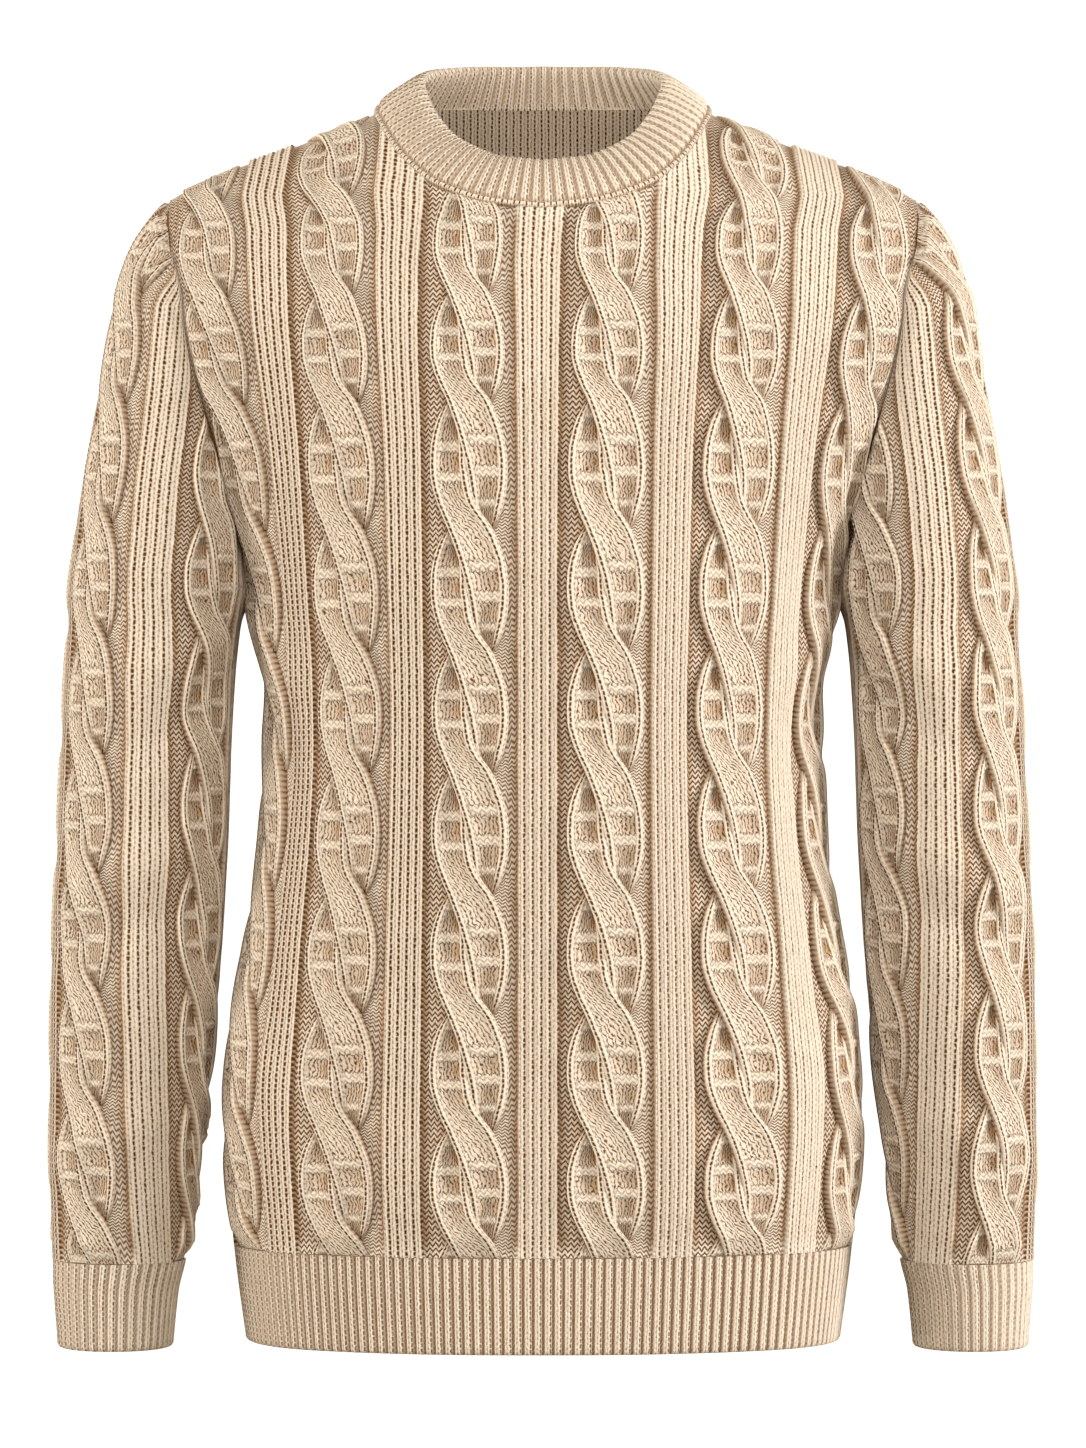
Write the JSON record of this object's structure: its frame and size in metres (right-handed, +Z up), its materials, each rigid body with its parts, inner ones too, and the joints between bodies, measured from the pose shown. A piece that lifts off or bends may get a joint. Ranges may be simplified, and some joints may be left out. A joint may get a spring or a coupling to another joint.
{
  "type": "cable knit sweater, worn form without a wearer",
  "caption": "Hollow crew-neck cable knit sweater standing in its worn form, arms down, with ribbed neckband, hem and cuffs, open at neck, hem and both cuffs.",
  "frame": {"origin": "the middle of the shoulder line at the base of the neck, where the wearer carries the sweater", "axes": "+Z up along the body, -Y out of the front, +X towards the wearer's left sleeve"},
  "size_m": [0.5525, 0.231, 0.7219],
  "materials": {
    "cable_knit": "soft matt wool yarn, oatmeal, knitted in cables and ribs",
    "rib_knit": "soft matt wool yarn, oatmeal, knit one purl one rib"
  },
  "bodies": {
    "root": {"front_panel": "cable_knit", "back_panel": "cable_knit", "sleeve_left": "cable_knit", "sleeve_right": "cable_knit", "neckband": "rib_knit", "hem_band": "rib_knit", "cuff_left": "rib_knit", "cuff_right": "rib_knit"}
  },
  "joints": []
}
